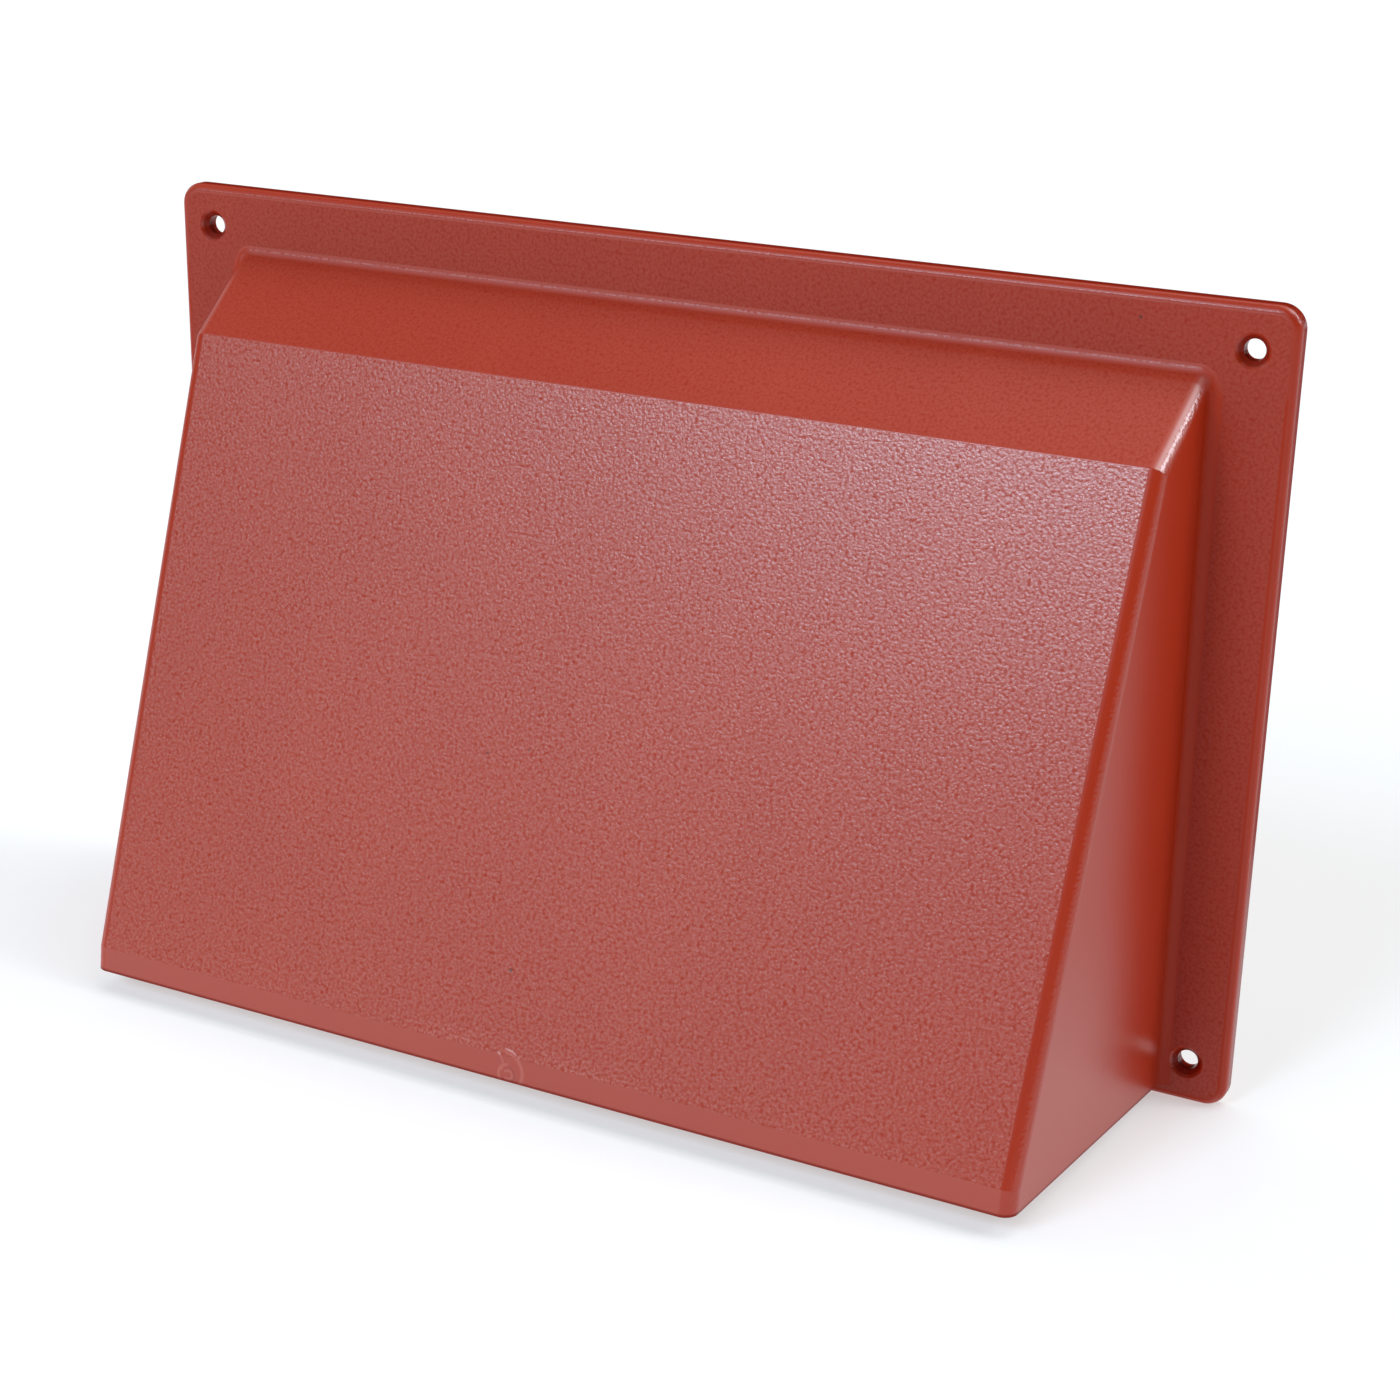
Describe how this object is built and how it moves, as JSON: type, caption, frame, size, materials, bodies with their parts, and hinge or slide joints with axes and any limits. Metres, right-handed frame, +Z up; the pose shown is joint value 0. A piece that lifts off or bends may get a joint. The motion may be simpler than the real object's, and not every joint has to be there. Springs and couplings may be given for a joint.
{
  "type": "cowl vent",
  "caption": "Hooded wall vent: moulded plastic cowl with a screw-fixed flange, steep rain hood open at the bottom, and a push-in fly screen behind it.",
  "frame": {"origin": "centre of the four screw holes, on the wall plane (back of the flange)", "axes": "+Z up, +X right seen from the front, -Y out of the wall through the front of the hood, +Y into the wall"},
  "size_m": [0.265, 0.0749, 0.172],
  "materials": {
    "terracotta_plastic": "satin",
    "screen_plastic": "satin",
    "ring_plastic": "satin",
    "rivet_plastic": "satin",
    "mesh_fabric": "matte"
  },
  "bodies": {
    "cowl": {"cowl_hood": "terracotta_plastic"},
    "fly_screen": {"screen_frame": "screen_plastic", "insect_mesh": "mesh_fabric", "clamp_ring": "ring_plastic", "screen_rivets": "rivet_plastic"}
  },
  "joints": [
    {"name": "screen_slide", "type": "slide", "parent": "cowl", "child": "fly_screen", "axis": [0, 1, 0], "range_m": [0, 0.03]}
  ]
}
